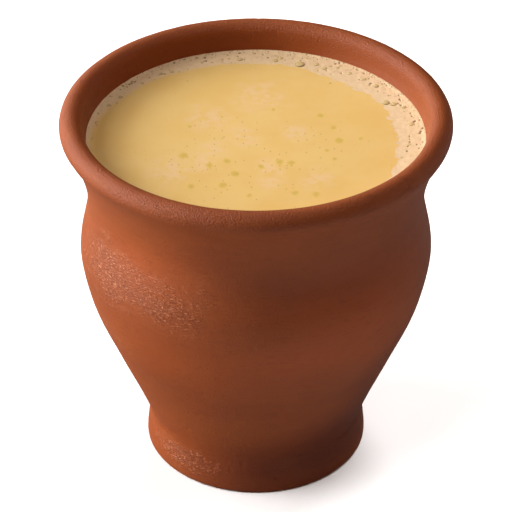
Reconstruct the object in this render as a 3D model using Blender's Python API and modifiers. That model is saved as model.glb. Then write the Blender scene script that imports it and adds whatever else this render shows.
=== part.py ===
"""A hand-thrown clay cup, full of sattu drink to just under its rolled rim, with a ring of froth along the wall.

Metres, +Z up. The origin is the middle of the foot's underside, and the cup stands on that flat foot.
"""

import math

import bmesh
import bpy
from mathutils import Vector
from mathutils.geometry import interpolate_bezier

# Driving dimensions of the cup
HEIGHT = 0.0905
RIM_RADIUS = 0.0450
ROLL_RADIUS = 0.00265
WALL = 0.0042
FLOOR_THICKNESS = 0.0085
FLOOR_RADIUS = 0.0150

# Radius and height of the outside where its curve turns, from the neck down to the crease over the foot
NECK = (0.0392, 0.0715)
BELLY = (0.0411, 0.0538)
LOWER_BELLY = (0.0393, 0.0440)
TAPER = (0.0338, 0.0296)
LOW_TAPER = (0.0277, 0.0150)
CREASE = (0.0255, 0.0089)

# The foot, a low band that stands a little proud of the crease and spreads towards its base
FOOT_SHOULDER = (0.0257, 0.0083)
FOOT_MIDDLE = (0.02625, 0.0045)
FOOT_LOWER = (0.0265, 0.0010)
FOOT_EDGE_RADIUS = 0.0007

# Driving dimensions of what is in it
DRINK_LEVEL = 0.0832
MOUTH_RADIUS = 0.0389
FROTH_THICKNESS = 0.0006
FROTH_WIDTH = 0.0048
FROTH_SHIFT = (0.0026, 0.0020)
FROTH_WAVES = ((3, 0.00035, 0.4), (7, 0.00025, 1.9), (11, 0.00015, 4.1))
GAP = 0.0003

# How finely the round shapes are divided
TURN_STEPS = 60
FROTH_STEPS = 72
OUTER_POINTS = 5
INNER_POINTS = 3
LIP_POINTS = 3
ROLL_POINTS = 9
EDGE_POINTS = 3
MERGE = 0.00001
SHARP_ANGLE = math.radians(50)

# Where the roll of the rim meets the flare outside, as an angle from straight out
LIP_ANGLE = math.radians(-35)


def clear_scene():
    for thing in list(bpy.data.objects):
        bpy.data.objects.remove(thing)


def new_collection(name):
    collection = bpy.data.collections.new(name)
    bpy.context.scene.collection.children.link(collection)
    return collection


def new_material(name, colour, roughness):
    material = bpy.data.materials.new(name)
    material.use_nodes = True
    shader = material.node_tree.nodes["Principled BSDF"]
    shader.inputs["Base Color"].default_value = (*colour, 1)
    shader.inputs["Roughness"].default_value = roughness
    shader.inputs["Metallic"].default_value = 0
    return material


def smooth_line(knots, first_direction, last_direction, points):
    """A curve through the knots, which are (radius, height) vectors, that leaves and arrives in the given directions.

    Each span between two knots has the given number of points, with both its ends."""
    directions = [first_direction]
    for before, here, after in zip(knots, knots[1:], knots[2:]):
        arrive, leave = here - before, after - here
        turn = arrive.normalized() * leave.length + leave.normalized() * arrive.length
        directions.append(turn.normalized())
    directions.append(last_direction)
    line = [knots[0]]
    for start, end, leave, arrive in zip(knots, knots[1:], directions, directions[1:]):
        reach = (end - start).length / 3
        line += interpolate_bezier(start, start + leave * reach, end - arrive * reach, end, points)[1:]
    return line


def arc(centre, radius, start, end, points):
    """Points of an arc round centre, from the start angle to the end angle."""
    angles = [start + (end - start) * i / (points - 1) for i in range(points)]
    return [centre + Vector((math.cos(a), math.sin(a))) * radius for a in angles]


def inward(line, distance):
    """The line moved sideways by distance. It runs down the inside of the wall, and moves towards the axis."""
    moved = []
    for i, point in enumerate(line):
        along = (line[min(i + 1, len(line) - 1)] - line[max(i - 1, 0)]).normalized()
        moved.append(point + Vector((along.y, -along.x)) * distance)
    return moved


def outer_knots():
    return [Vector(knot) for knot in (NECK, BELLY, LOWER_BELLY, TAPER, LOW_TAPER, CREASE)]


def roll():
    """The rim's round roll, from its outer end under the lip, over the top, to its inner end."""
    centre = Vector((RIM_RADIUS - ROLL_RADIUS, HEIGHT - ROLL_RADIUS))
    lip = arc(centre, ROLL_RADIUS, LIP_ANGLE, 0, LIP_POINTS)
    return lip[:-1] + arc(centre, ROLL_RADIUS, 0, math.pi, ROLL_POINTS)


def outer_wall():
    """The outside, from the roll down the flare, belly and foot to the flat underside."""
    leave = Vector((math.sin(LIP_ANGLE), -math.cos(LIP_ANGLE)))
    knots = [roll()[0], *outer_knots()]
    arrive = (knots[-1] - knots[-2]).normalized()
    body = smooth_line(knots, leave, arrive, OUTER_POINTS)
    foot_knots = [Vector(knot) for knot in (FOOT_SHOULDER, FOOT_MIDDLE, FOOT_LOWER)]
    start = (foot_knots[1] - foot_knots[0]).normalized()
    foot = smooth_line(foot_knots, start, Vector((0, -1)), OUTER_POINTS)
    edge_centre = Vector((FOOT_LOWER[0] - FOOT_EDGE_RADIUS, FOOT_EDGE_RADIUS))
    edge = arc(edge_centre, FOOT_EDGE_RADIUS, 0, math.radians(-90), EDGE_POINTS)
    return body + foot + edge


def inner_wall():
    """The inside, from the roll down to the middle of the floor."""
    mouth = Vector((MOUTH_RADIUS, DRINK_LEVEL + FROTH_THICKNESS))
    below = inward(outer_knots()[:-1], WALL)
    floor = Vector((FLOOR_RADIUS, FLOOR_THICKNESS))
    knots = [roll()[-1], mouth, *below, floor]
    return smooth_line(knots, Vector((0, -1)), Vector((-1, 0)), INNER_POINTS) + [Vector((0, FLOOR_THICKNESS))]


def turned(name, outline, collection, material):
    """A solid of revolution. The outline is a list of (radius, height) vectors that runs down its outer side."""
    mesh = bpy.data.meshes.new(name)
    points = [(point.x, 0, point.y) for point in outline]
    mesh.from_pydata(points, [(i, i + 1) for i in range(len(points) - 1)], [])
    mesh.materials.append(material)
    thing = bpy.data.objects.new(name, mesh)
    collection.objects.link(thing)
    screw = thing.modifiers.new("Turn", "SCREW")
    screw.axis = "Z"
    screw.steps = TURN_STEPS
    screw.render_steps = TURN_STEPS
    screw.use_merge_vertices = True
    screw.merge_threshold = MERGE
    screw.use_smooth_shade = True
    return thing


def build_cup(collection):
    clay = new_material("clay", (0.27, 0.072, 0.024), 0.85)
    inside = list(reversed(inner_wall()))
    rim = list(reversed(roll()))
    outline = inside[:-1] + rim + outer_wall()[1:] + [Vector((0, 0))]
    return turned("cup", outline, collection, clay)


def wall_radius(height):
    """The radius of the inside of the wall at a height."""
    line = inner_wall()
    for above, below in zip(line, line[1:]):
        if above.y >= height >= below.y:
            share = (above.y - height) / (above.y - below.y)
            return above.x + (below.x - above.x) * share
    raise ValueError("no wall at that height")


def build_drink(collection):
    cream_yellow = new_material("drink", (0.87, 0.56, 0.20), 0.35)
    wall = inward(inner_wall(), GAP)
    below = [point for point in wall if GAP < point.x and point.y < DRINK_LEVEL - GAP]
    top = Vector((0, DRINK_LEVEL))
    edge = Vector((wall_radius(DRINK_LEVEL) - GAP, DRINK_LEVEL))
    bottom = Vector((0, FLOOR_THICKNESS + GAP))
    return turned("drink", [top, edge, *below, bottom], collection, cream_yellow)


def froth_inner_radius(angle):
    """The ring's ragged inner edge: an off-centre circle with a few waves, widest at the right and the back."""
    shift = FROTH_SHIFT[0] * math.cos(angle) + FROTH_SHIFT[1] * math.sin(angle)
    waves = sum(size * math.sin(count * angle + phase) for count, size, phase in FROTH_WAVES)
    return MOUTH_RADIUS - FROTH_WIDTH - shift + waves


def froth_section(angle):
    """One cut through the ring: flat under, tight to the wall, and rounded off towards the drink."""
    under = DRINK_LEVEL + GAP
    top = under + FROTH_THICKNESS
    outer = MOUTH_RADIUS - GAP
    inner = froth_inner_radius(angle)
    width = outer - inner
    shoulder = FROTH_THICKNESS * 0.8
    return [
        (outer, under),
        (outer, top - FROTH_THICKNESS * 0.2),
        (outer - FROTH_THICKNESS * 0.3, top),
        (outer - width * 0.5, top),
        (inner + shoulder, top - FROTH_THICKNESS * 0.1),
        (inner + shoulder * 0.3, under + FROTH_THICKNESS * 0.6),
        (inner, under),
    ]


def build_froth(collection):
    """A ring of uneven width, lofted through one section for each step round the cup."""
    foam = new_material("froth", (0.80, 0.62, 0.40), 0.5)
    shape = bmesh.new()
    rings = []
    for step in range(FROTH_STEPS):
        angle = 2 * math.pi * step / FROTH_STEPS
        across = Vector((math.cos(angle), math.sin(angle), 0))
        rings.append([shape.verts.new(across * radius + Vector((0, 0, z))) for radius, z in froth_section(angle)])
    for here, beyond in zip(rings, rings[1:] + rings[:1]):
        for i in range(len(here)):
            j = (i + 1) % len(here)
            shape.faces.new((here[i], beyond[i], beyond[j], here[j]))
    bmesh.ops.recalc_face_normals(shape, faces=shape.faces)
    mesh = bpy.data.meshes.new("froth")
    shape.to_mesh(mesh)
    shape.free()
    mesh.shade_smooth()
    mesh.set_sharp_from_angle(angle=SHARP_ANGLE)
    mesh.materials.append(foam)
    thing = bpy.data.objects.new("froth", mesh)
    collection.objects.link(thing)
    return thing


def main():
    clear_scene()
    collection = new_collection("sattu_cup")
    build_cup(collection)
    build_drink(collection)
    build_froth(collection)


main()
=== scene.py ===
"""The looks of a clay cup full of sattu drink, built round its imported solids.

Metres, +Z up. The cup stands on the origin with its axis along Z. -Y is the side towards the camera, +X its right.
"""

import itertools
import math

import bpy
import numpy as np
from bpy.props import FloatProperty, FloatVectorProperty, PointerProperty
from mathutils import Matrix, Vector


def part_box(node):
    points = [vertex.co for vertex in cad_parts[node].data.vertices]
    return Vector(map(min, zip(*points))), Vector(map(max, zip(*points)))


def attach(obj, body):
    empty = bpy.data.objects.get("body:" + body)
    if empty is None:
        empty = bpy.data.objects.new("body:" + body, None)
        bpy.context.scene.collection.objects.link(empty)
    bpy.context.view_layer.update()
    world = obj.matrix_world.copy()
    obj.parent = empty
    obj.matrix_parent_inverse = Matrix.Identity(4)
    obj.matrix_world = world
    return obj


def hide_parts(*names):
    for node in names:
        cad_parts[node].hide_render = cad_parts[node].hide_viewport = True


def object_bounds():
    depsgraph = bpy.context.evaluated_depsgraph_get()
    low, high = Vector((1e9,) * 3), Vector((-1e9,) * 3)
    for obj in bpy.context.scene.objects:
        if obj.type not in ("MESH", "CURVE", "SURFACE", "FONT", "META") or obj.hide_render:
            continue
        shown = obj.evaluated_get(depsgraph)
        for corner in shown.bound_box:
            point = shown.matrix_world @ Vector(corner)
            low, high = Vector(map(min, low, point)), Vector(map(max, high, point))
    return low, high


bl_info = {
    "name": "Sattu Cup",
    "version": (1, 0, 0),
    "blender": (4, 5, 0),
    "location": "3D View > Sidebar > Sattu Cup",
    "description": "Builds a clay cup full of sattu drink, with froth, bubbles and flour specks",
    "category": "Add Mesh",
}

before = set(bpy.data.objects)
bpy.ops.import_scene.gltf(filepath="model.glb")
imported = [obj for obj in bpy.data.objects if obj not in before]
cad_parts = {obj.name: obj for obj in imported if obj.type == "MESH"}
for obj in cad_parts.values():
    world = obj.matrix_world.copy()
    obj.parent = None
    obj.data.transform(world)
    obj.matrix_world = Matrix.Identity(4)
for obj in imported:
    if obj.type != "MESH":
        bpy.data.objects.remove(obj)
CAD_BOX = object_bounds()
MM = 0.001

# Clay: how finely the cup's mesh is divided, and how far its surface moves
CUP_COLUMNS = 400
BURIED_SPACING = 5.0 * MM
RIM_SPACING = 0.36 * MM
WALL_SPACING = 0.60 * MM
FOOT_SPACING = 0.40 * MM
UNDERSIDE_SPACING = 1.2 * MM
RIM_DEPTH = 7.5 * MM
FOOT_HEIGHT = 10.0 * MM
FILLET = 5.0 * MM

# Worn, sandy patches: azimuth and height of the middle, then half the width (degrees) and height (mm), and strength.
# Their pale flecks are partly painted highlight, and the dark gaps between them are painted shade.
WORN_PATCHES = (
    (-134, 62, 24, 5.5, 1.0),
    (-152, 60, 12, 7.0, 0.7),
    (-116, 58, 10, 3.0, 0.55),
    (-150, 42, 12, 3.0, 0.5),
    (-128, 34, 9, 2.5, 0.3),
    (-132, 5.5, 20, 3.2, 0.9),
    (172, 50, 20, 8.0, 0.7),
    (108, 64, 18, 6.0, 0.6),
    (76, 30, 16, 5.0, 0.5),
    (30, 57, 14, 5.0, 0.35),
    (20, 5.0, 18, 3.0, 0.5),
)
PIT_COUNT = 260

# Tones of the clay, given in the same way: partly the firing's, and partly painted shade low at the front by the
# foot and under the rim at the front. The strength is how much darker the clay is, or brighter with a minus.
TONE_AND_SHADE_PATCHES = (
    (-58, 53, 26, 13, -0.95),
    (-104, 44, 26, 9, -0.35),
    (-128, 69, 18, 5, -0.5),
    # Painted shade under the rim at the front
    (-92, 69, 22, 5, 0.2),
    # These three rows are painted shade low at the front, by the foot where the cup stands on the floor
    (-42, 14, 34, 9, 0.85),
    (-70, 7, 40, 7, 0.45),
    (-110, 5, 24, 5, 0.4),
    (-35, 30, 22, 9, 0.3),
    (-152, 62, 12, 8, 0.3),
    (40, 58, 24, 10, 0.6),
    (66, 24, 30, 9, -0.5),
    (118, 40, 26, 12, 0.5),
    (152, 66, 22, 8, -0.4),
    (-176, 26, 22, 9, 0.4),
)

# Drink: the mesh, and spots placed as x, y and radius in mm on its surface
DRINK_COLUMNS = 540
DRINK_SPACING = 0.25 * MM
WALL_BITE = 0.35 * MM
BLISTERS = (
    (-16.4, -8.0, 0.9), (-10.5, -12.3, 0.65), (-6.6, -10.4, 0.7), (-4.7, -15.7, 0.8), (-7.4, -20.4, 0.85),
    (1.1, -12.6, 0.6), (5.3, -10.7, 0.75), (7.9, -11.2, 0.75), (13.3, -24.2, 0.7), (8.7, -23.7, 0.7),
    (19.1, -1.6, 0.8), (15.0, 9.5, 0.6), (17.9, 4.1, 0.6), (24.0, -0.8, 0.45), (16.1, -5.9, 0.45),
    (-14.5, -21.1, 0.6), (17.8, -9.5, 0.45), (-1.5, -24.8, 0.5), (-15.3, 4.5, 0.4), (4.0, 12.0, 0.4),
)
PALE_PATCHES = (
    (-3.3, 0.0, 3.4), (-13.0, -10.5, 3.2), (-10.0, -6.0, 3.0), (3.0, -13.0, 2.6), (3.4, -18.0, 3.0),
    (9.0, 2.0, 3.0), (-11.0, 8.0, 4.0), (-20.0, -14.0, 4.0), (14.0, -18.0, 3.0), (1.0, 18.0, 5.0),
)

DUSTY_PATCHES = ((-13, -11, 7.0), (3, -14, 8.0), (-4, -22, 7.0), (16, -4, 6.0), (-6, 2, 6.0))
BLOT_STRETCH = 1.25

# Froth: the mesh, its ragged inner edge and the larger bubbles, as x, y and radius in mm
FROTH_COLUMNS = 1200
FROTH_ROWS = 62
FROTH_HEIGHT = 0.42 * MM
FROTH_UNDERSIDE = 0.3 * MM
LARGE_BUBBLES = (
    (10.5, 32.9, 1.25), (4.6, 34.6, 0.8), (5.9, 35.6, 0.7), (-3.9, 35.2, 0.75), (-6.6, 35.4, 0.45),
    (-8.2, 35.1, 0.5), (14.5, 32.6, 0.7), (16.4, 30.9, 0.75), (28.3, 22.5, 0.75), (30.4, 15.1, 1.0),
    (32.2, 14.3, 0.85), (34.5, 12.8, 0.7), (36.0, 5.3, 0.8), (22.3, 28.4, 0.6), (25.6, 25.6, 0.65),
    (-31.9, 17.6, 0.6), (-34.5, 13.8, 0.6), (-20.1, 29.3, 0.6), (-22.6, 28.4, 0.5), (35.0, -3.6, 0.6),
    (-13.0, 33.6, 0.45), (19.5, 31.0, 0.5), (-27.0, 24.0, 0.5), (33.0, -9.0, 0.4),
)
SMALL_BUBBLES = 46
DRINK_BUBBLES = 20
PORES = 110
FLOUR_SPECKS = 110

# The photograph: width and height in pixels, and the camera that fits the cup's outline in it
PHOTO_PIXELS = 512
SENSOR = 36.0
FOCAL_PIXELS = 2753.2
AIM_HEIGHT = 50.46 * MM
CAMERA_DISTANCE = 650.0 * MM
CAMERA_ELEVATION = 34.18

# Studio lights: azimuth, elevation, width in metres and power in watts. The first fall on the cup alone, and the
# others on the floor alone, which leaves only a short soft shadow at the foot.
LIGHT_DISTANCE = 0.9
CUP_LIGHTS = (
    ("left", -90, 22, 0.4, 4.85),
    ("low_left", -90, 5, 0.4, 4.15),
    ("high_left", -90, 40, 0.4, 2.7),
    ("key", -120, 22, 0.4, 4.05),
    ("back_left", -150, 22, 0.4, 1.5),
    ("front_left", -60, 5, 0.4, 1.25),
    ("back_right", 120, 5, 0.4, 0.7),
    ("top_right", 90, 78, 0.4, 2.0),
)
FLOOR_LIGHTS = (
    ("floor_left", -90, 38, 0.8, 8.4),
    ("floor_low_left", -90, 20, 0.4, 0.9),
    ("floor_front_left", -45, 58, 0.4, 3.2),
    ("floor_right", 90, 58, 0.8, 3.1),
    ("floor_back_right", 135, 58, 0.4, 5.6),
    ("floor_back", 180, 38, 0.4, 1.9),
)


def noise(points, size, seed):
    """Smooth noise from -1 to 1 that changes over about size, which is one length or one for each axis."""
    table = np.random.default_rng(seed).uniform(-1, 1, 4096)
    scaled = points / np.asarray(size)
    cell = np.floor(scaled).astype(np.int64)
    share = scaled - cell
    share = share * share * (3 - 2 * share)
    total = np.zeros(points.shape[:-1])
    for corner in itertools.product((0, 1), repeat=3):
        at = cell + corner
        index = (at[..., 0] * 73856093 ^ at[..., 1] * 19349663 ^ at[..., 2] * 83492791) % len(table)
        total += table[index] * np.prod(np.where(corner, share, 1 - share), axis=-1)
    return total


def smooth_step(value, low, high):
    share = np.clip((value - low) / (high - low), 0, 1)
    return share * share * (3 - 2 * share)


def cad_outline(node):
    """The outline of a turned CAD node at +X, as (radius, height) rows from the axis inside or above, round to the
    axis below. The middle of a flat face is added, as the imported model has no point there."""
    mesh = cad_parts[node].data
    tiny = 1e-6
    keys = {}
    for vertex in mesh.vertices:
        if abs(vertex.co.y) < tiny and vertex.co.x > -tiny:
            keys[vertex.index] = (round(vertex.co.x, 6), round(vertex.co.z, 6))
    beside = {key: set() for key in keys.values()}
    for edge in mesh.edges:
        ends = [keys.get(i) for i in edge.vertices]
        if None not in ends and ends[0] != ends[1]:
            beside[ends[0]].add(ends[1])
            beside[ends[1]].add(ends[0])
    here = max((key for key in beside if len(beside[key]) == 1), key=lambda key: key[1])
    line = [here]
    while onward := [key for key in beside[here] if key not in line]:
        here = min(onward, key=lambda key: math.dist(key, line[-1]))
        line.append(here)
    for place, end in ((0, line[0]), (len(line) + 1, line[-1])):
        if end[0] > tiny:
            line.insert(place, (0.0, end[1]))
    return np.array(line)


def smooth_line(points, steps=16):
    """A smooth curve through the points, with that many steps to each span. The two flat ends stay straight."""
    gaps = np.linalg.norm(np.diff(points, axis=0), axis=1)[:, None]
    slopes = np.diff(points, axis=0) / gaps
    inner = (slopes[:-1] * gaps[1:] + slopes[1:] * gaps[:-1]) / (gaps[:-1] + gaps[1:])
    leaves = np.vstack([slopes[:1], inner])
    arrives = np.vstack([inner, slopes[-1:]])
    leaves[-1], arrives[0] = slopes[-1], slopes[0]
    t = (np.arange(steps) / steps)[:, None]
    line = []
    for start, end, leave, arrive, gap in zip(points, points[1:], leaves, arrives, gaps):
        line.append(
            start * (2 * t**3 - 3 * t**2 + 1)
            + leave * gap * (t**3 - 2 * t**2 + t)
            + end * (3 * t**2 - 2 * t**3)
            + arrive * gap * (t**3 - t**2)
        )
    return np.vstack([*line, points[-1:]])


def lengths_along(line):
    return np.concatenate([[0], np.cumsum(np.linalg.norm(np.diff(line, axis=0), axis=1))])


def spaced(line, spacing):
    """Points along the line, as far apart as spacing says at each of its points."""
    along = lengths_along(line)
    middle = 0.5 * (1 / spacing[1:] + 1 / spacing[:-1])
    counted = np.concatenate([[0], np.cumsum(np.diff(along) * middle)])
    wanted = np.linspace(0, counted[-1], int(round(counted[-1])) + 1)
    at = np.interp(wanted, counted, along)
    return np.column_stack([np.interp(at, along, line[:, 0]), np.interp(at, along, line[:, 1])])


def line_normals(line):
    """Unit normals on the left of the line's direction, which is the open side of an outline read inside out."""
    along = np.gradient(line, axis=0)
    along /= np.maximum(np.linalg.norm(along, axis=1), 1e-12)[:, None]
    return np.column_stack([-along[:, 1], along[:, 0]])


def turned_points(line, columns):
    """The line's points carried round the axis: an array of rows by columns by x, y, z."""
    angles = 2 * np.pi * np.arange(columns) / columns
    radius, height = line[:, :1], line[:, 1:]
    return np.stack(
        [radius * np.cos(angles), radius * np.sin(angles), height * np.ones(columns)], axis=-1
    )


def ring_faces(grid, wrap):
    """Four-sided faces between the rows of a grid of point numbers. With wrap, the last row joins the first."""
    here = grid if wrap else grid[:-1]
    beyond = np.roll(grid, -1, axis=0) if wrap else grid[1:]
    faces = [here, beyond, np.roll(beyond, -1, axis=1), np.roll(here, -1, axis=1)]
    return np.stack(faces, axis=-1).reshape(-1, 4).tolist()


def turned_mesh(name, points):
    """A closed mesh from rows of points round the axis. Its first and last rows are single points on the axis."""
    rows, columns = points.shape[:2]
    grid = np.arange((rows - 2) * columns).reshape(rows - 2, columns)
    first, last = grid.size, grid.size + 1
    faces = ring_faces(grid, False)
    for j in range(columns):
        k = (j + 1) % columns
        faces.append([first, int(grid[0, j]), int(grid[0, k])])
        faces.append([last, int(grid[-1, k]), int(grid[-1, j])])
    flat = np.vstack([points[1:-1].reshape(-1, 3), points[0].mean(axis=0), points[-1].mean(axis=0)])
    mesh = bpy.data.meshes.new(name)
    mesh.from_pydata(flat.tolist(), [], faces)
    mesh.shade_smooth()
    return mesh


def store(mesh, name, values):
    """Keeps one number for each of the mesh's points, for its material to read."""
    attribute = mesh.attributes.new(name, "FLOAT", "POINT")
    attribute.data.foreach_set("value", np.asarray(values, np.float32).ravel())


def store_turned(mesh, name, values):
    """The same for a turned mesh, from rows and columns of numbers."""
    store(mesh, name, np.concatenate([values[1:-1].ravel(), [values[0].mean(), values[-1].mean()]]))


def add_piece(name, mesh, material):
    """A new object that rides on the cup's one body."""
    mesh.materials.append(material)
    piece = bpy.data.objects.new(name, mesh)
    bpy.context.scene.collection.objects.link(piece)
    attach(piece, "root")
    return piece


def blob_mesh(name, blobs):
    """One mesh from many small closed shapes, each given as (points, faces)."""
    points, faces, count = [], [], 0
    for shape, sides in blobs:
        points.append(shape)
        faces += [[i + count for i in side] for side in sides]
        count += len(shape)
    mesh = bpy.data.meshes.new(name)
    mesh.from_pydata(np.vstack(points).tolist(), [], faces)
    mesh.shade_smooth()
    return mesh


class Wire:
    """The output of a node in a material. Arithmetic on it adds Math nodes."""

    def __init__(self, material, socket):
        self.material = material
        self.socket = socket

    def math(self, operation, *values):
        return self.material.add("ShaderNodeMath", {"operation": operation}, dict(enumerate(values)))

    def __add__(self, other):
        return self.math("ADD", self, other)

    def __sub__(self, other):
        return self.math("SUBTRACT", self, other)

    def __rsub__(self, other):
        return self.math("SUBTRACT", other, self)

    def __mul__(self, other):
        return self.math("MULTIPLY", self, other)

    __radd__ = __add__
    __rmul__ = __mul__


class Finish:
    """A new material, with the ways to add its nodes."""

    def __init__(self, name):
        self.made = bpy.data.materials.new(name)
        self.made.use_nodes = True
        self.tree = self.made.node_tree
        self.tree.nodes.clear()

    def add(self, kind, settings, inputs, output=0):
        """Adds a node, sets it up, then fills its inputs with wires or plain values. Gives the wire of one output."""
        node = self.tree.nodes.new(kind)
        for name, setting in settings.items():
            setattr(node, name, setting)
        for key, given in inputs.items():
            if isinstance(given, Wire):
                self.tree.links.new(given.socket, node.inputs[key])
            else:
                node.inputs[key].default_value = given
        return Wire(self, node.outputs[output]) if node.outputs else None

    def place(self):
        return self.add("ShaderNodeTexCoord", {}, {}, "Object")

    def stretched(self, place, scale):
        return self.add("ShaderNodeVectorMath", {"operation": "MULTIPLY"}, {0: place, 1: scale})

    def noise(self, place, size, detail=2.0, roughness=0.5):
        """Noise from 0 to 1 that changes over about size metres."""
        inputs = {"Vector": place, "Scale": 1 / size, "Detail": detail, "Roughness": roughness}
        return self.add("ShaderNodeTexNoise", {}, inputs)

    def cells(self, place, size, flat="3D"):
        """Scattered points, one to each cell of about size metres: how far the nearest is, in cells, and a number
        from 0 to 1 of its own."""
        settings, inputs = {"voronoi_dimensions": flat}, {"Vector": place, "Scale": 1 / size}
        far = self.add("ShaderNodeTexVoronoi", settings, inputs, "Distance")
        hue = self.add("ShaderNodeTexVoronoi", settings, inputs, "Color")
        return far, self.add("ShaderNodeSeparateColor", {}, {"Color": hue})

    def kept(self, name):
        """A number that the mesh keeps for each of its points."""
        return self.add("ShaderNodeAttribute", {"attribute_name": name}, {}, "Fac")

    def step(self, value, low, high):
        """0 where the value is under low, 1 where it is over high, and smooth between them."""
        settings = {"interpolation_type": "SMOOTHSTEP"}
        return self.add("ShaderNodeMapRange", settings, {"Value": value, "From Min": low, "From Max": high})

    def mix(self, share, first, second):
        """The first colour where share is 0, and the second where it is 1."""
        ends = [c if isinstance(c, Wire) else (*c, 1) for c in (first, second)]
        return self.add("ShaderNodeMix", {"data_type": "RGBA"}, {0: share, 6: ends[0], 7: ends[1]}, 2)

    def surface(self, height, inputs):
        """The finish itself. The height is relief in millimetres."""
        relief = self.add("ShaderNodeBump", {}, {"Strength": 1.0, "Distance": MM, "Height": height})
        shader = self.add("ShaderNodeBsdfPrincipled", {}, {**inputs, "Normal": relief})
        self.add("ShaderNodeOutputMaterial", {}, {"Surface": shader})
        return self.made


def clay_finish(clay):
    """Unglazed terracotta: uneven tones, partly the firing's and partly painted shade at the foot and under the rim,
    with throwing streaks and dashes, worn patches whose pale flecks are partly painted highlight and whose dark gaps
    are painted shade, and tiny pits with painted shade inside.
    The grain is relief, so it shows where the light rakes over it and is lost in the shade."""
    finish = Finish("clay")
    place = finish.place()
    worn = finish.kept("worn")
    rim = finish.kept("rim")
    # Tones of the clay: partly the firing's, and partly painted shade at the foot and under the rim
    fired = finish.kept("fired")
    along = finish.stretched(place, (0.14, 0.14, 1.0))
    across = finish.stretched(place, (0.4, 0.4, 1.0))
    mottle = finish.noise(finish.stretched(place, (0.5, 0.5, 1.0)), 11 * MM, 3.0, 0.5)
    streak = finish.noise(along, 1.1 * MM, 3.0, 0.6)
    dash = finish.noise(along, 0.34 * MM, 1.0, 0.5)
    grain = finish.noise(place, 0.40 * MM, 2.0, 0.7)
    scuff = finish.noise(across, 0.32 * MM, 2.0, 0.65)
    far, chance = finish.cells(place, 1.9 * MM)
    pit = 1 - finish.step(far, 0.03, 0.09)
    tone = finish.step(mottle * 0.65 + streak * 0.35, 0.38, 0.62)
    colour = finish.mix(tone, tuple(clay.deep), tuple(clay.body))
    # The clay's darker and brighter patches, some of them painted shade at the foot and under the rim
    colour = finish.mix(fired, colour, tuple(clay.smoked))
    colour = finish.mix(fired * -1, colour, tuple(clay.bright))
    colour = finish.mix(finish.step(dash, 0.60, 0.72) * 0.35, colour, tuple(clay.smoked))
    # Pale flecks in the worn patches: partly worn grain, and partly painted highlight on scuffed edges
    colour = finish.mix(finish.step(scuff, 0.56, 0.70) * worn * 0.9, colour, tuple(clay.sand_and_highlight))
    # Painted shade in the gaps between the scuffs
    colour = finish.mix((1 - finish.step(scuff, 0.34, 0.44)) * worn * 0.6, colour, tuple(clay.pit))
    # Painted shade inside the small pits
    colour = finish.mix(pit * finish.step(chance, 0.4, 0.6) * (0.2 + 0.6 * worn), colour, tuple(clay.pit))
    relief = (
        grain * (0.08 + 0.20 * rim)
        + scuff * (0.03 + 0.24 * worn)
        + dash * 0.03
        + streak * 0.025
        + mottle * 0.08
        - pit * 0.10
    )
    rough = 0.50 + 0.10 * mottle
    return finish.surface(relief, {"Base Color": colour, "Roughness": rough, "Specular IOR Level": 0.36})


def drink_colours(finish, place, drink):
    """The drink's colour before its spots, which the froth fades into."""
    broad = finish.noise(place, 14 * MM, 2.0, 0.5)
    fine = finish.noise(place, 2.6 * MM, 2.0, 0.5)
    tone = finish.step(broad * 0.8 + fine * 0.2, 0.36, 0.64)
    return finish.mix(tone, tuple(drink.deep), tuple(drink.body))


def drink_finish(drink):
    """An opaque suspension of roasted flour: a soft sheen, paler clouds, olive-yellow blots and husk dust."""
    finish = Finish("drink")
    place = finish.place()
    colour = drink_colours(finish, place, drink)
    cloud = finish.kept("pale") * finish.step(finish.noise(place, 2.2 * MM, 3.0), 0.35, 0.62)
    colour = finish.mix(cloud, colour, tuple(drink.cloud))
    colour = finish.mix(finish.kept("blister"), colour, tuple(drink.blister))
    far, chance = finish.cells(finish.stretched(place, (1.0, 0.6, 1.0)), 1.6 * MM, "2D")
    dust = (1 - finish.step(far, 0.05, 0.13)) * finish.step(chance - finish.kept("dusty"), 0.0, -0.05)
    colour = finish.mix(dust * 0.55, colour, tuple(drink.speck))
    relief = finish.noise(place, 1.2 * MM, 3.0, 0.6) * 0.015
    inputs = {"Base Color": colour, "Roughness": 0.42, "Specular IOR Level": 0.4}
    return finish.surface(relief, inputs)


def froth_finish(froth, drink):
    """Cream foam: crowds of open pores near the wall, dark with painted shade, and a soft edge that fades into the
    drink.
    """
    finish = Finish("froth")
    place = finish.place()
    cover = finish.kept("cover")
    wall = finish.kept("wall")
    crater = finish.kept("pore")
    soft = finish.noise(place, 1.3 * MM, 2.0)
    colour = drink_colours(finish, place, drink)
    colour = finish.mix(finish.step(cover + soft * 0.3, 0.2, 1.1), colour, tuple(froth.body))
    colour = finish.mix(finish.step(soft, 0.45, 0.7) * cover * 0.35, colour, tuple(froth.shade))
    holes = crater
    for size, low, high in ((0.62 * MM, 0.10, 0.30), (1.25 * MM, 0.08, 0.22)):
        far, chance = finish.cells(place, size, "2D")
        width = low + (high - low) * chance * chance
        hole = (1 - finish.step(far - width, -0.07, 0.03)) * finish.step(wall - chance, 0.0, 0.1)
        holes = finish.add("ShaderNodeMath", {"operation": "MAXIMUM"}, {0: holes, 1: hole})
    # Painted shade inside the open pores
    colour = finish.mix(holes * 0.85, colour, tuple(froth.pore))
    relief = soft * 0.05 - holes * 0.12
    inputs = {"Base Color": colour, "Roughness": 0.40 + holes * 0.2, "Specular IOR Level": 0.4}
    return finish.surface(relief, inputs)


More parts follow.
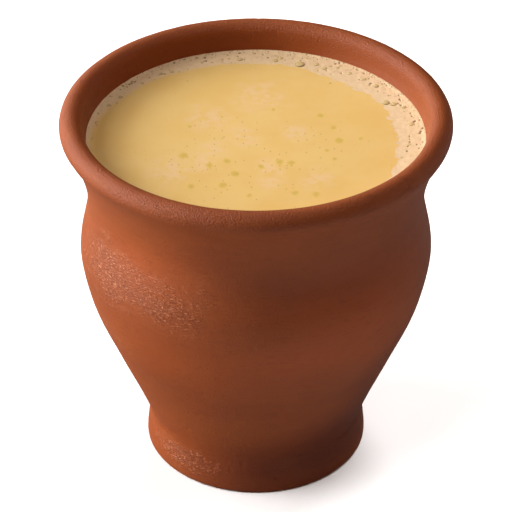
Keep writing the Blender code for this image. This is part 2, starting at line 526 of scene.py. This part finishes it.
def bubble_finish(name, froth, clear):
    """The wet skin of a bubble: clear in the middle, with a thin dark line of painted shade round its foot."""
    finish = Finish(name)
    edge = finish.kept("edge")
    speck = finish.noise(finish.place(), 0.4 * MM)
    # The dark foot of each bubble is painted shade, for the light its film bends away at the edge
    colour = finish.mix(edge, clear, tuple(froth.ring))
    inputs = {"Base Color": colour, "Roughness": 0.16 + 0.1 * speck, "Specular IOR Level": 0.5}
    return finish.surface(speck * 0.01, inputs)


def speck_finish(drink):
    """Ground flour and husk, olive to brown."""
    finish = Finish("flour")
    tone = finish.noise(finish.place(), 2.5 * MM)
    colour = finish.mix(finish.step(tone, 0.35, 0.65), tuple(drink.speck), tuple(drink.blister))
    inputs = {"Base Color": colour, "Roughness": 0.5}
    return finish.surface(tone * 0.02, inputs)


def cup_line():
    """The cup's outline, finely and unevenly spaced: dense at the rim and foot, wide where the drink covers it."""
    line = smooth_line(cad_outline("cup"))
    along = lengths_along(line)
    top = int(np.argmax(line[:, 1]))
    rim_top = line[top, 1]
    inside = np.arange(len(line)) < top
    spacing = np.full(len(line), WALL_SPACING)
    spacing[inside] = BURIED_SPACING
    spacing[line[:, 1] > rim_top - RIM_DEPTH] = RIM_SPACING
    spacing[~inside & (line[:, 1] < FOOT_HEIGHT)] = FOOT_SPACING
    spacing[~inside & (line[:, 1] < 0.05 * MM)] = UNDERSIDE_SPACING
    ease = 2.0 * MM
    dense = np.arange(0, along[-1], 0.1 * MM)
    reach = int(ease / (0.1 * MM))
    kernel = np.hanning(2 * reach + 1) / np.hanning(2 * reach + 1).sum()
    rough = np.interp(dense, along, spacing)
    eased = np.convolve(np.pad(rough, reach, mode="edge"), kernel, mode="valid")
    return spaced(line, np.interp(along, dense, eased))


def patch_share(points, patches, ragged, edge):
    """The sum of the patches at each point, with outlines made uneven by ragged and as soft as edge."""
    azimuth = np.degrees(np.arctan2(points[..., 1], points[..., 0]))
    height = points[..., 2] / MM
    total = np.zeros(points.shape[:-1])
    for middle, level, half_width, half_height, strength in patches:
        aside = (azimuth - middle + 180) % 360 - 180
        far = np.hypot(aside / half_width, (height - level) / half_height)
        total += strength * smooth_step(1 + edge / 2 - far + ragged, 0, edge)
    return total


def worn_share(points):
    """How worn the clay is at each point, from 0 to 1."""
    ragged = 0.45 * noise(points, (5 * MM, 5 * MM, 1.6 * MM), 3) + 0.3 * noise(points, 1.7 * MM, 4)
    streaky = 0.75 + 0.45 * noise(points, (6 * MM, 6 * MM, 0.9 * MM), 12)
    return np.clip(patch_share(points, WORN_PATCHES, ragged, 1.1) * streaky, 0, 1)


def tone_and_shade_share(points):
    """How dark the clay is at each point, from -1, bright, to 1, darkest: partly the firing's tone, and partly painted
    shade at the foot and under the rim.
    """
    ragged = 0.25 * noise(points, (16 * MM, 16 * MM, 7 * MM), 13)
    ragged += 0.08 * noise(points, (9 * MM, 9 * MM, 2 * MM), 14)
    return np.clip(patch_share(points, TONE_AND_SHADE_PATCHES, ragged, 1.6), -1, 1)


def foot_fillet(line):
    """How far the outline moves out at each of its points where the crease over the foot is filled."""
    outside = np.arange(len(line)) > int(np.argmax(line[:, 1]))
    heights = np.arange(0, 30 * MM, 0.1 * MM)
    side = line[outside & (line[:, 1] > 0.8 * MM)][::-1]
    radii = np.interp(heights, side[:, 1], side[:, 0])
    reach = int(FILLET / (0.1 * MM))
    kernel = np.hanning(2 * reach + 1) / np.hanning(2 * reach + 1).sum()
    eased = np.convolve(np.pad(radii, reach, mode="edge"), kernel, mode="valid")
    share = smooth_step(line[:, 1], 0.5 * MM, 4 * MM) * smooth_step(line[:, 1], 26 * MM, 20 * MM)
    return np.interp(line[:, 1], heights, eased - radii) * share * outside


def pit_relief(points, worn):
    """Small craters scattered over the clay, more of them where it is worn. Depths in metres, as negative relief."""
    rng = np.random.default_rng(11)
    rows, columns = points.shape[:2]
    relief = np.zeros((rows, columns))
    made = 0
    while made < PIT_COUNT:
        row = int(rng.integers(4, rows - 4))
        column = int(rng.integers(columns))
        radius = rng.uniform(0.35, 0.75) * MM
        if rng.random() > 0.25 + worn[row, column]:
            continue
        made += 1
        across = (column + np.arange(-9, 10)) % columns
        down = np.arange(max(row - 9, 0), min(row + 10, rows))
        block = np.ix_(down, across)
        far = np.linalg.norm(points[block] - points[row, column], axis=-1) / radius
        relief[block] -= radius * 0.28 * np.clip(1 - far**2, 0, None) ** 1.5
    return relief


def build_cup(clay):
    line = cup_line()
    normals = line_normals(line)
    points = turned_points(line, CUP_COLUMNS)
    out = turned_points(normals, CUP_COLUMNS)
    height = points[..., 2]
    top = int(np.argmax(line[:, 1]))
    outside = (np.arange(len(line)) > top)[:, None]
    open_air = outside | (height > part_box("drink")[1].z - 1 * MM)
    rim = smooth_step(height, CAD_BOX[1].z - 5.5 * MM, CAD_BOX[1].z - 2.5 * MM)
    worn = np.where(outside, worn_share(points), 0)
    ridges = noise(points, (26 * MM, 26 * MM, 1.5 * MM), 5) * noise(points, 17 * MM, 6)
    move = clay.lines * ridges + clay.unevenness * noise(points, 13 * MM, 7)
    move += 0.012 * MM * noise(points, 1.5 * MM, 8)
    move += worn * 0.035 * MM * noise(points, (1.6 * MM, 1.6 * MM, 0.9 * MM), 9)
    move += np.where(outside, pit_relief(points, worn), 0)
    to_left = 0.5 - 0.5 * points[..., 0] / np.maximum(np.hypot(points[..., 0], points[..., 1]), MM)
    move += foot_fillet(line)[:, None] * smooth_step(to_left, 0.0, 0.35)
    points = points + out * (move * open_air * smooth_step(height, 0, 1.2 * MM))[..., None]
    mesh = turned_mesh("clay_cup", points)
    store_turned(mesh, "worn", worn)
    store_turned(mesh, "rim", rim)
    # The clay's tones, partly painted shade at the foot and under the rim
    store_turned(mesh, "fired", np.where(outside, tone_and_shade_share(points), 0))
    piece = add_piece("clay_cup", mesh, clay_finish(clay))
    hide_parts("cup")
    return piece


def wall_radius(height):
    """The radius of the inside of the cup's wall at a height."""
    line = cad_outline("cup")
    inside = line[: int(np.argmax(line[:, 1])) + 1]
    return float(np.interp(height, inside[:, 1], inside[:, 0]))


def spots(points, placed, edge, ragged=0.0):
    """1 inside the placed spots and 0 outside them, with an edge of the given share of the radius."""
    total = np.zeros(points.shape[:-1])
    for x, y, radius in placed:
        far = np.hypot(points[..., 0] - x * MM, (points[..., 1] - y * MM) / BLOT_STRETCH) / (radius * MM)
        total = np.maximum(total, 1 - smooth_step(far + ragged, 1 - edge, 1 + edge))
    return total


def build_drink(drink):
    """The drink, closed all round. Its side reaches just into the cup's wall."""
    level = drink.level
    edge = wall_radius(level) + WALL_BITE
    sides = cad_outline("drink")
    below = sides[(sides[:, 1] < level - 3 * MM) & (sides[:, 0] > MM)]
    below[:, 0] += WALL_BITE + 0.3 * MM
    top = np.column_stack([np.arange(0, edge, DRINK_SPACING), np.full(math.ceil(edge / DRINK_SPACING), level)])
    bottom = np.array([[0, sides[-1, 1]]])
    line = np.vstack([top, [[edge, level]], [[wall_radius(level - MM) + WALL_BITE, level - MM]], below, bottom])
    points = turned_points(line, DRINK_COLUMNS)
    surface = np.arange(len(line)) < len(top)
    flat = points * (1, 1, 0)
    lift = 0.03 * MM * noise(flat, 9 * MM, 21) + 0.012 * MM * noise(flat, 2.5 * MM, 22)
    blister = spots(points, BLISTERS, 0.6, 0.25 * noise(flat, 0.7 * MM, 23))
    points[..., 2] += lift * surface[:, None]
    mesh = turned_mesh("drink_body", points)
    store_turned(mesh, "blister", blister * surface[:, None])
    pale = spots(points, PALE_PATCHES, 0.7, 0.35 * noise(flat, 2.0 * MM, 24))
    store_turned(mesh, "pale", pale * surface[:, None])
    store_turned(mesh, "dusty", spots(points, DUSTY_PATCHES, 0.6) * 0.5 * surface[:, None])
    piece = add_piece("drink_body", mesh, drink_finish(drink))
    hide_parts("drink")
    return piece


def froth_width(froth, angle):
    """The width of the froth ring, widest at the right and the back, with a ragged inner edge."""
    wide = froth.width + froth.shift[0] * np.cos(angle) + froth.shift[1] * np.sin(angle)
    for count, size, phase in ((3, 0.35, 0.4), (7, 0.18, 1.9), (11, 0.12, 4.1)):
        wide = wide + size * MM * np.sin(count * angle + phase)
    return np.maximum(wide, 1.2 * MM)


def froth_softness(angle):
    """How wide the froth's thin inner edge is: short at the right, long at the back and the left."""
    right = 0.5 + 0.5 * np.cos(angle + 0.15)
    return (3.4 - 2.5 * right**1.5) * MM


def foam_share(angle):
    """How bubbly the froth is round the cup: most at the back and back right, least at the front."""
    return 0.12 + 0.88 * np.clip(0.5 + 0.62 * np.sin(angle + 0.25), 0, 1)


def froth_height(froth, drink, x, y):
    """The height of the froth's smooth surface over a point, and how much froth there is there, from 0 to 1."""
    angle = np.arctan2(y, x)
    inward = wall_radius(drink.level) - np.hypot(x, y)
    width = froth_width(froth, angle)
    cover = smooth_step(width - inward, 0, froth_softness(angle))
    thick = FROTH_HEIGHT * smooth_step(1 - inward / width, 0, 1.2)
    climb = 0.22 * MM * np.exp(-np.clip(inward, 0, None) / (0.6 * MM))
    return drink.level - 0.02 * MM + thick + climb, cover


def scatter_pores(froth, drink):
    """Places and radii of the froth's open pores, crowded towards the wall at the back."""
    rng = np.random.default_rng(31)
    outer = wall_radius(drink.level) - 0.25 * MM
    found = []
    while len(found) < PORES:
        angle = rng.uniform(0, 2 * np.pi)
        inward = rng.exponential(1.7) * MM
        if inward > froth_width(froth, angle) * 1.1 or rng.random() > foam_share(angle):
            continue
        radius = (0.20 + 0.22 * rng.random() ** 2) * MM
        found.append(((outer - inward) * np.cos(angle), (outer - inward) * np.sin(angle), radius))
    return found


def build_froth(froth, drink):
    """The froth ring, closed all round: its open pores are craters in the mesh."""
    angles = 2 * np.pi * np.arange(FROTH_COLUMNS) / FROTH_COLUMNS
    outer = wall_radius(drink.level + FROTH_HEIGHT) + WALL_BITE
    inner = wall_radius(drink.level) - froth_width(froth, angles)
    across = np.linspace(0, 1, FROTH_ROWS)[:, None]
    radius = inner + (outer - inner) * across
    x, y = radius * np.cos(angles), radius * np.sin(angles)
    height, cover = froth_height(froth, drink, x, y)
    flat = np.stack([x, y, np.zeros_like(x)], axis=-1)
    wall = np.exp(-np.clip(outer - WALL_BITE - radius, 0, None) / (2.2 * MM)) * foam_share(angles)
    height = height + cover * (0.035 * noise(flat, 1.4 * MM, 32) + 0.02 * noise(flat, 0.6 * MM, 33)) * MM
    pore = np.zeros_like(height)
    for px, py, size in scatter_pores(froth, drink):
        middle = int(round(math.atan2(py, px) / (2 * math.pi) * FROTH_COLUMNS))
        near = (middle + np.arange(-5, 6)) % FROTH_COLUMNS
        far = np.hypot(x[:, near] - px, y[:, near] - py) / size
        pore[:, near] = np.maximum(pore[:, near], 1 - smooth_step(far, 0.35, 1.1))
    height = height - pore * 0.14 * MM
    floor = drink.level - FROTH_UNDERSIDE
    top = np.stack([x, y, height], axis=-1)
    side = np.stack([x[-1], y[-1], np.full(FROTH_COLUMNS, floor)], axis=-1)[None]
    under = np.stack([x[0], y[0], np.full(FROTH_COLUMNS, floor)], axis=-1)[None]
    points = np.vstack([top, side, under])
    grid = np.arange(points.shape[0] * FROTH_COLUMNS).reshape(points.shape[:2])
    mesh = bpy.data.meshes.new("froth_ring")
    mesh.from_pydata(points.reshape(-1, 3).tolist(), [], ring_faces(grid, True))
    mesh.shade_smooth()
    hidden = np.zeros((2, FROTH_COLUMNS))
    store(mesh, "cover", np.vstack([cover, hidden]))
    store(mesh, "wall", np.vstack([wall, hidden]))
    store(mesh, "pore", np.vstack([pore, hidden]))
    piece = add_piece("froth_ring", mesh, froth_finish(froth, drink))
    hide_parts("froth")
    return piece


def dome(x, y, base, radius, rise, rings=7, sides=18):
    """A closed, low dome that stands on the height base, and how near each of its points is to its foot."""
    shares = np.linspace(0, 1, rings + 1)[1:]
    angles = 2 * np.pi * np.arange(sides) / sides
    points = [(x, y, base + rise)]
    edge = [0.0]
    for share in shares:
        height = base + rise * math.sqrt(max(1 - share * share, 0))
        points += [(x + radius * share * math.cos(a), y + radius * share * math.sin(a), height) for a in angles]
        edge += [share] * sides
    foot = len(points)
    points.append((x, y, base - 0.1 * MM))
    edge.append(1.0)
    faces = []
    for j in range(sides):
        k = (j + 1) % sides
        faces.append([0, 1 + j, 1 + k])
        for ring in range(rings - 1):
            start = 1 + ring * sides
            faces.append([start + j, start + sides + j, start + sides + k, start + k])
        last = 1 + (rings - 1) * sides
        faces.append([last + j, foot, last + k])
    return np.array(points), faces, edge


def build_domes(name, placed, finish):
    """One mesh of domes. Each is given as x, y, the height of its foot, its radius and its rise."""
    shapes = [dome(*place) for place in placed]
    mesh = blob_mesh(name, [(points, faces) for points, faces, _ in shapes])
    edge = np.concatenate([near for _, _, near in shapes])
    # Where the painted shade round each dome's foot falls
    store(mesh, "edge", smooth_step(edge, 0.74, 0.97))
    return add_piece(name, mesh, finish)


def build_bubbles(froth, drink):
    """The froth's larger bubbles, and the few single ones out on the drink."""
    rng = np.random.default_rng(41)
    outer = wall_radius(drink.level) - 0.3 * MM
    placed = []
    for x, y, radius in LARGE_BUBBLES:
        base = froth_height(froth, drink, x * MM, y * MM)[0] - 0.05 * MM
        placed.append((x * MM, y * MM, float(base), radius * MM, 0.24 * radius * MM))
    while len(placed) < len(LARGE_BUBBLES) + SMALL_BUBBLES:
        angle = rng.uniform(0, 2 * np.pi)
        radius = (0.20 + 0.22 * rng.random() ** 2) * MM
        inward = radius + rng.exponential(1.3) * MM
        if rng.random() > foam_share(angle) or inward > froth_width(froth, angle):
            continue
        x, y = (outer - inward) * math.cos(angle), (outer - inward) * math.sin(angle)
        if any(math.hypot(x - bx, y - by) < (radius + b) * 0.9 for bx, by, _, b, _ in placed):
            continue
        base = froth_height(froth, drink, x, y)[0] - 0.04 * MM
        placed.append((x, y, float(base), radius, 0.3 * radius))
    build_domes("froth_bubbles", placed, bubble_finish("froth_bubble", froth, tuple(froth.clear)))
    single = []
    while len(single) < DRINK_BUBBLES:
        angle = rng.uniform(0, 2 * np.pi)
        far = 30 * MM * math.sqrt(rng.random())
        radius = (0.10 + 0.22 * rng.random() ** 2) * MM
        place = (far * math.cos(angle), far * math.sin(angle))
        single.append((*place, drink.level, radius, 0.3 * radius))
    build_domes("drink_bubbles", single, bubble_finish("drink_bubble", froth, tuple(drink.body)))


def flake(rng, x, y, base, size):
    """A tiny flat chip with an uneven outline."""
    sides = 6
    turn = rng.uniform(0, 2 * np.pi)
    points = [(x, y, base + 0.35 * size)]
    for j in range(sides):
        angle = turn + 2 * np.pi * j / sides
        reach = size * rng.uniform(0.6, 1.0)
        points.append((x + reach * math.cos(angle), y + 0.7 * reach * math.sin(angle), base))
    points.append((x, y, base - 0.3 * size))
    faces = []
    for j in range(sides):
        k = (j + 1) % sides
        faces.append([0, 1 + j, 1 + k])
        faces.append([1 + j, sides + 1, 1 + k])
    return np.array(points), faces


def build_specks(drink):
    """Flour specks that float in the drink's surface, crowded a little to the left of the middle."""
    rng = np.random.default_rng(51)
    blobs = []
    while len(blobs) < FLOUR_SPECKS:
        x, y = rng.uniform(-34, 34, 2)
        crowd = math.exp(-((x + 14) ** 2 + (y + 12) ** 2) / 130)
        if math.hypot(x, y) > 33 or rng.random() > 0.25 + crowd:
            continue
        size = rng.uniform(0.07, 0.19) * MM
        blobs.append(flake(rng, x * MM, y * MM, drink.level + 0.01 * MM, size))
    mesh = blob_mesh("flour_specks", blobs)
    add_piece("flour_specks", mesh, speck_finish(drink))


def add_light(name, azimuth, elevation, size, power, lit):
    """A disk of light that faces the cup and falls only on the objects in lit. Azimuth 0 is at the camera's side,
    and 90 is at the right."""
    data = bpy.data.lights.new(name, "AREA")
    data.shape = "DISK"
    data.size = size
    data.energy = power
    light = bpy.data.objects.new(name, data)
    bpy.context.scene.collection.objects.link(light)
    a, e = math.radians(azimuth), math.radians(elevation)
    way = Vector((math.sin(a) * math.cos(e), -math.cos(a) * math.cos(e), math.sin(e)))
    light.location = Vector((0, 0, AIM_HEIGHT)) + way * LIGHT_DISTANCE
    light.rotation_mode = "QUATERNION"
    light.rotation_quaternion = way.to_track_quat("Z", "Y")
    group = bpy.data.collections.new(name + "_falls_on")
    for thing in lit:
        group.objects.link(thing)
    light.light_linking.receiver_collection = group
    return light


def floor_finish(stage):
    """Pale paper. It looks white to the camera, but throws back less light and shows little in the cup's gloss."""
    finish = Finish("floor")
    seen = finish.add("ShaderNodeLightPath", {}, {}, "Is Camera Ray")
    bounced = finish.add("ShaderNodeLightPath", {}, {}, "Is Diffuse Ray")
    fibre = finish.noise(finish.place(), 30 * MM)
    shown = finish.mix(seen, [stage.floor_gloss] * 3, [stage.floor_seen] * 3)
    colour = finish.mix(bounced, shown, [stage.floor_bounce] * 3)
    shader = finish.add("ShaderNodeBsdfDiffuse", {}, {"Color": colour, "Roughness": fibre * 0.2})
    finish.add("ShaderNodeOutputMaterial", {}, {"Surface": shader})
    return finish.made


def build_stage(stage):
    """The floor, the camera, the lights and the pale surroundings."""
    mesh = bpy.data.meshes.new("floor")
    half = 3.0
    mesh.from_pydata([(-half, -half, 0), (half, -half, 0), (half, half, 0), (-half, half, 0)], [], [(0, 1, 2, 3)])
    mesh.materials.append(floor_finish(stage))
    floor = bpy.data.objects.new("floor", mesh)
    bpy.context.scene.collection.objects.link(floor)
    scene = bpy.context.scene
    data = bpy.data.cameras.new("camera")
    data.sensor_width = SENSOR
    data.lens = FOCAL_PIXELS * SENSOR / PHOTO_PIXELS
    camera = bpy.data.objects.new("camera", data)
    scene.collection.objects.link(camera)
    rise = math.radians(CAMERA_ELEVATION)
    away = Vector((0, -math.cos(rise), math.sin(rise)))
    camera.location = Vector((0, 0, AIM_HEIGHT)) + away * CAMERA_DISTANCE
    camera.rotation_euler = (math.pi / 2 - rise, 0, 0)
    scene.camera = camera
    world = bpy.data.worlds.new("surroundings")
    world.use_nodes = True
    background = world.node_tree.nodes["Background"]
    background.inputs["Color"].default_value = (*stage.ambient_tint, 1)
    background.inputs["Strength"].default_value = stage.ambient
    scene.world = world
    scene.view_settings.view_transform = "Standard"
    cup = [thing for thing in scene.objects if thing.type == "MESH" and thing != floor]
    for name, azimuth, elevation, size, power in CUP_LIGHTS:
        add_light(name, azimuth, elevation, size, power * stage.cup_light, cup)
    for name, azimuth, elevation, size, power in FLOOR_LIGHTS:
        add_light(name, azimuth, elevation, size, power * stage.floor_light, [floor])


def length(name, description, default):
    return FloatProperty(name=name, description=description, default=default, unit="LENGTH", precision=5)


def tint(name, description, default):
    return FloatVectorProperty(name=name, description=description, default=default, subtype="COLOR", min=0, max=1)


class SattuClay(bpy.types.PropertyGroup):
    """The cup's clay."""

    lines: length("Throwing lines", "Height of the soft rings left by the thrower's fingers", 0.035 * MM)
    unevenness: length("Unevenness", "How far the hand-made wall strays from a true turned shape", 0.05 * MM)
    body: tint("Clay", "The fired clay's main colour", (0.302, 0.0622, 0.0066))
    deep: tint("Deep clay", "The redder tone of its mottling", (0.272, 0.0530, 0.0055))
    # The darkest tone, also used for the painted shade at the foot and under the rim
    smoked: tint("Smoked clay", "The darkest tone that the firing left", (0.175, 0.0290, 0.0026))
    bright: tint("Bright clay", "The brightest tone that the firing left", (0.40, 0.076, 0.0075))
    # Pale flecks of worn grain, and partly painted highlight where their edges catch the light
    sand_and_highlight: tint("Sand", "Grains that show where the clay is worn", (0.62, 0.24, 0.11))
    # Painted shade: the dark inside of small pits, also used for the gaps between scuffs
    pit: tint("Pits", "The inside of small pits", (0.08, 0.016, 0.005))


class SattuDrink(bpy.types.PropertyGroup):
    """The drink."""

    level: length("Level", "Height of the drink's surface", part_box("drink")[1].z + 0.3 * MM)
    body: tint("Drink", "The drink's main colour", (0.885, 0.605, 0.215))
    deep: tint("Deep drink", "The deeper tone of its clouding", (0.865, 0.570, 0.185))
    cloud: tint("Clouds", "Paler clouds of flour", (0.90, 0.615, 0.30))
    blister: tint("Blisters", "Olive-yellow spots where it has bubbled", (0.74, 0.50, 0.10))
    speck: tint("Specks", "Ground husk", (0.40, 0.25, 0.07))


class SattuFroth(bpy.types.PropertyGroup):
    """The froth ring and its bubbles."""

    width: length("Width", "Mean width of the ring", 5.0 * MM)
    shift: FloatVectorProperty(
        name="Shift",
        description="How much wider the ring is at the right and at the back",
        default=(2.3 * MM, 2.4 * MM),
        size=2,
        unit="LENGTH",
        precision=5,
    )
    body: tint("Froth", "The foam's main colour", (0.86, 0.64, 0.38))
    shade: tint("Foam shade", "The duller tone of its mottling", (0.76, 0.52, 0.28))
    # Painted shade seen inside an open pore
    pore: tint("Pores", "The inside of open pores", (0.20, 0.115, 0.04))
    clear: tint("Bubbles", "The drink seen through a bubble", (0.72, 0.54, 0.25))
    # Painted shade round a bubble's foot
    ring: tint("Rings", "The dark foot of a bubble", (0.26, 0.17, 0.05))


class SattuStage(bpy.types.PropertyGroup):
    """The floor and the light."""

    cup_light: FloatProperty(name="Cup light", description="Strength of the lights on the cup", default=1)
    floor_light: FloatProperty(name="Floor light", description="Strength of the lights on the floor", default=1)
    ambient: FloatProperty(name="Surroundings", description="Strength of the light from all round", default=0.09)
    ambient_tint: tint("Surroundings' tint", "Colour of that light, warm as in a wooden room", (1.0, 0.40, 0.15))
    floor_seen: FloatProperty(name="Floor", description="How bright the floor looks", default=1.0)
    floor_bounce: FloatProperty(name="Floor bounce", description="How much light it throws back", default=0.49)
    floor_gloss: FloatProperty(name="Floor in gloss", description="How bright glossy surfaces mirror it", default=0.12)


class SATTU_OT_cup(bpy.types.Operator):
    """Build the clay cup"""

    bl_idname = "sattu.cup"
    bl_label = "Clay cup"

    def execute(self, context):
        build_cup(context.scene.sattu_clay)
        return {"FINISHED"}


class SATTU_OT_drink(bpy.types.Operator):
    """Fill the cup with the drink"""

    bl_idname = "sattu.drink"
    bl_label = "Drink"

    def execute(self, context):
        build_drink(context.scene.sattu_drink)
        return {"FINISHED"}


class SATTU_OT_froth(bpy.types.Operator):
    """Lay the ring of froth along the wall"""

    bl_idname = "sattu.froth"
    bl_label = "Froth ring"

    def execute(self, context):
        build_froth(context.scene.sattu_froth, context.scene.sattu_drink)
        return {"FINISHED"}


class SATTU_OT_bubbles(bpy.types.Operator):
    """Add the bubbles in the froth and on the drink"""

    bl_idname = "sattu.bubbles"
    bl_label = "Bubbles"

    def execute(self, context):
        build_bubbles(context.scene.sattu_froth, context.scene.sattu_drink)
        return {"FINISHED"}


class SATTU_OT_specks(bpy.types.Operator):
    """Scatter flour specks on the drink"""

    bl_idname = "sattu.specks"
    bl_label = "Flour specks"

    def execute(self, context):
        build_specks(context.scene.sattu_drink)
        return {"FINISHED"}


class SATTU_OT_stage(bpy.types.Operator):
    """Set up the floor, the light and the camera"""

    bl_idname = "sattu.stage"
    bl_label = "Stage"

    def execute(self, context):
        build_stage(context.scene.sattu_stage)
        return {"FINISHED"}


class SATTU_PT_cup(bpy.types.Panel):
    """The cup's pieces, in the order in which they are built"""

    bl_idname = "SATTU_PT_cup"
    bl_label = "Sattu Cup"
    bl_space_type = "VIEW_3D"
    bl_region_type = "UI"
    bl_category = "Sattu Cup"

    def draw(self, context):
        for name, group in GROUPS.items():
            box = self.layout.box()
            values = getattr(context.scene, name)
            for value in group.__annotations__:
                box.prop(values, value)
        for operator in OPERATORS:
            self.layout.operator(operator.bl_idname)


GROUPS = {
    "sattu_clay": SattuClay,
    "sattu_drink": SattuDrink,
    "sattu_froth": SattuFroth,
    "sattu_stage": SattuStage,
}
OPERATORS = (SATTU_OT_cup, SATTU_OT_drink, SATTU_OT_froth, SATTU_OT_bubbles, SATTU_OT_specks, SATTU_OT_stage)


def register():
    for made in (*GROUPS.values(), *OPERATORS, SATTU_PT_cup):
        bpy.utils.register_class(made)
    for name, group in GROUPS.items():
        setattr(bpy.types.Scene, name, PointerProperty(type=group))


def unregister():
    for name in GROUPS:
        delattr(bpy.types.Scene, name)
    for made in reversed((*GROUPS.values(), *OPERATORS, SATTU_PT_cup)):
        bpy.utils.unregister_class(made)


def main():
    register()
    bpy.ops.sattu.cup()
    bpy.ops.sattu.drink()
    bpy.ops.sattu.froth()
    bpy.ops.sattu.bubbles()
    bpy.ops.sattu.specks()
    bpy.ops.sattu.stage()


if __name__ == "__main__":
    main()
